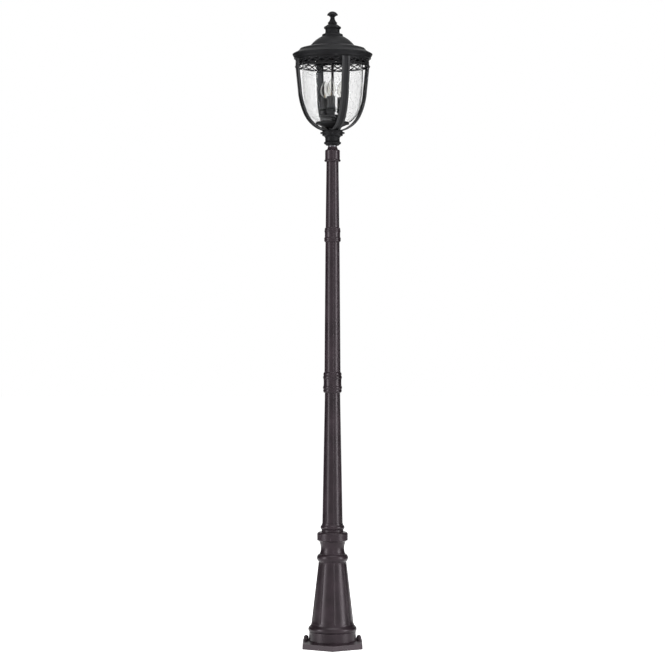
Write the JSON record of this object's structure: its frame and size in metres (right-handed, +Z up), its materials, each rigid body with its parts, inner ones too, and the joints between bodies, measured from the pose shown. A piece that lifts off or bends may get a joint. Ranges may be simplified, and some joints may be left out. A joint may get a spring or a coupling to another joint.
{
  "type": "triple head lamp post",
  "caption": "Garden lamp post: hexagonal foot, fluted pedestal and shaft, and a domed glass lantern with a pierced band that holds a cluster of candle lamps.",
  "frame": {"origin": "centre of the foot plate's underside, on the ground", "axes": "+Z up along the post's axis, -Y towards the viewer of the front, +X to the right of the front"},
  "size_m": [0.302, 0.302, 2.4],
  "materials": {
    "post_paint": "satin black paint with a warm bronze cast",
    "lantern_paint": "satin black paint over a textured casting",
    "tube_steel": "zinc plated",
    "screw_steel": "zinc plated",
    "clear_glass": "clear seeded glass",
    "lamp_glass": "clear thin glass",
    "lamp_cap": "nickel plated",
    "filament_mount": "clear",
    "holder_plastic": "moulded",
    "sleeve_plastic": "satin",
    "seal_rubber": "matte",
    "block_plastic": "moulded"
  },
  "bodies": {
    "root": {"foot_plate": "post_paint", "anchor_washers": "screw_steel", "anchor_nuts": "screw_steel", "pedestal_screws": "screw_steel", "pedestal": "post_paint", "pedestal_collar": "post_paint", "lower_shaft": "post_paint", "middle_shaft": "post_paint", "upper_shaft": "post_paint", "lower_coupling": "post_paint", "upper_coupling": "post_paint", "lower_joint_tube": "tube_steel", "upper_joint_tube": "tube_steel", "coupling_screws": "screw_steel", "post_cap": "lantern_paint", "neck_nipple": "tube_steel", "nipple_ring_nut": "screw_steel", "base_cup": "lantern_paint", "rib_1": "lantern_paint", "rib_2": "lantern_paint", "rib_3": "lantern_paint", "rib_4": "lantern_paint", "rib_foot_screws": "screw_steel", "rib_top_screws": "screw_steel", "glass_dish": "lantern_paint", "glass_gasket": "seal_rubber", "glass_bowl": "clear_glass", "gallery_band": "lantern_paint", "centre_rod": "screw_steel", "rod_nuts": "screw_steel", "candle_pan": "lantern_paint", "pan_cover": "lantern_paint", "terminal_block": "block_plastic", "candle_cup_1": "lantern_paint", "candle_sleeve_1": "sleeve_plastic", "lampholder_1": "holder_plastic", "candle_cup_2": "lantern_paint", "candle_sleeve_2": "sleeve_plastic", "lampholder_2": "holder_plastic", "candle_cup_3": "lantern_paint", "candle_sleeve_3": "sleeve_plastic", "lampholder_3": "holder_plastic"},
    "roof": {"roof": "lantern_paint", "vent_turret": "lantern_paint"},
    "finial": {"finial": "lantern_paint", "finial_washer": "screw_steel"},
    "lamp_1": {"lamp_cap_1": "lamp_cap", "lamp_glass_1": "lamp_glass", "lamp_filament_1": "filament_mount"},
    "lamp_2": {"lamp_cap_2": "lamp_cap", "lamp_glass_2": "lamp_glass", "lamp_filament_2": "filament_mount"},
    "lamp_3": {"lamp_cap_3": "lamp_cap", "lamp_glass_3": "lamp_glass", "lamp_filament_3": "filament_mount"}
  },
  "joints": [
    {"name": "roof_lift", "type": "slide", "parent": "root", "child": "roof", "axis": [0, 0, 1], "range_m": [0, 0.12]},
    {"name": "finial_turn", "type": "hinge", "parent": "roof", "child": "finial", "pos_m": [0, 0, 2.36], "axis": [0, 0, 1], "continuous": true},
    {"name": "lamp_1_turn", "type": "hinge", "parent": "root", "child": "lamp_1", "pos_m": [-0.00563, -0.03556, 2.06], "axis": [0, 0, 1], "continuous": true},
    {"name": "lamp_2_turn", "type": "hinge", "parent": "root", "child": "lamp_2", "pos_m": [0.03361, 0.0129, 2.06], "axis": [0, 0, 1], "continuous": true},
    {"name": "lamp_3_turn", "type": "hinge", "parent": "root", "child": "lamp_3", "pos_m": [-0.02798, 0.02266, 2.06], "axis": [0, 0, 1], "continuous": true}
  ]
}
